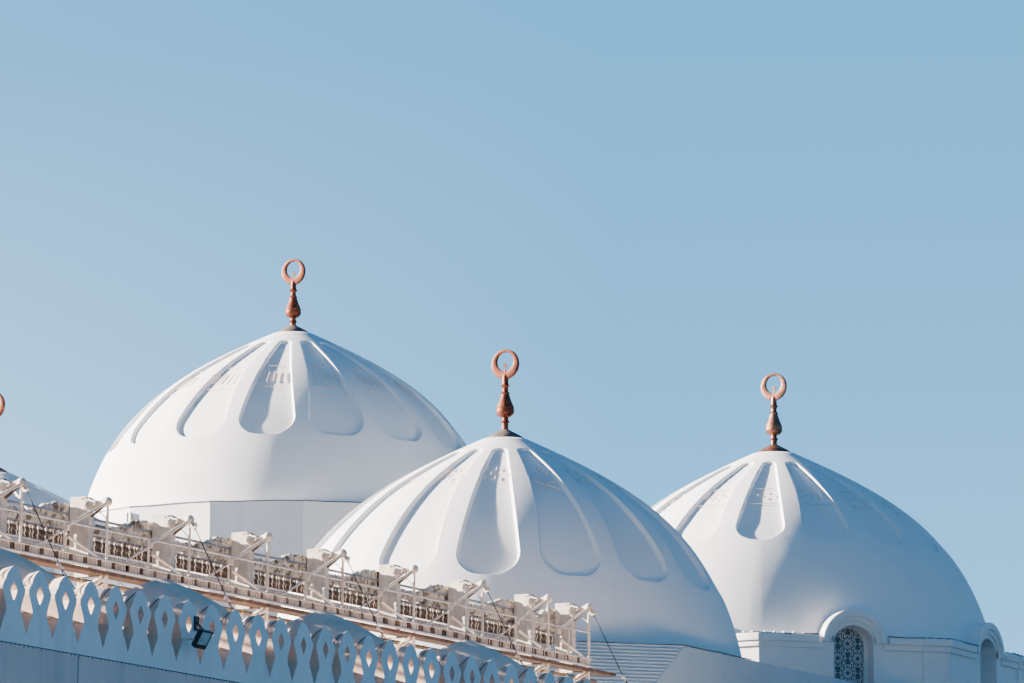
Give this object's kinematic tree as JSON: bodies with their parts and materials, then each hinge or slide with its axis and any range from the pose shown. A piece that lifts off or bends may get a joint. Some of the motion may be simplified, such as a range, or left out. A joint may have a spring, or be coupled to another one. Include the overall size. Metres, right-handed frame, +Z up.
{
  "type": "domed mosque building, 1:2 scale model",
  "caption": "Domed mosque with ribbed domes on a raised hall, an arcaded courtyard wing, pointed openwork parapets and canopy gantries, as a half-size model.",
  "frame": {"origin": "centre of the building's footprint at ground level", "axes": "+X along the long side from the courtyard wing to the hall, +Y from the front wall to the back wall, +Z up"},
  "size_m": [35.77, 21.767, 14.9708],
  "materials": {
    "white_render": "matte painted render",
    "grey_render": "matte grey render",
    "copper": "satin, aged to red-brown",
    "screen_white": "matte cast screen",
    "cream_steel": "weathered cream paint",
    "rusty_deck": "rusted and stained",
    "canopy_canvas": "dirty folded canvas",
    "black_metal": "satin black",
    "floor_stone": "honed",
    "steel_wire": "dull wire"
  },
  "bodies": {
    "root": {"front_wall": "white_render", "back_wall": "white_render", "west_wall": "white_render", "east_wall": "white_render", "front_arcade": "white_render", "back_arcade": "white_render", "west_arcade": "white_render", "hall_front_wall": "white_render", "front_parapet": "white_render", "back_parapet": "white_render", "west_parapet": "white_render", "east_parapet": "white_render", "hall_roof": "white_render", "block_walls": "white_render", "block_roof": "white_render", "left_drum": "white_render", "right_drum": "white_render", "centre_dome": "white_render", "right_dome": "white_render", "left_dome": "white_render", "far_left_dome": "white_render", "front_portico_roof": "grey_render", "back_portico_roof": "grey_render", "west_portico_roof": "grey_render", "centre_finial": "copper", "right_finial": "copper", "left_finial": "copper", "far_left_finial": "copper", "dormer_screen_1": "screen_white", "dormer_screen_2": "screen_white", "dormer_screen_3": "screen_white", "dormer_screen_4": "screen_white", "dormer_screen_5": "screen_white", "dormer_screen_6": "screen_white", "dormer_screen_7": "screen_white", "dormer_screen_8": "screen_white", "front_gantry": "cream_steel", "back_gantry": "cream_steel", "front_gantry_deck": "rusty_deck", "back_gantry_deck": "rusty_deck", "front_canopy_bundle": "canopy_canvas", "back_canopy_bundle": "canopy_canvas", "front_floodlight": "black_metal", "back_floodlight": "black_metal", "hall_floor_and_piers": "floor_stone"}
  },
  "joints": []
}
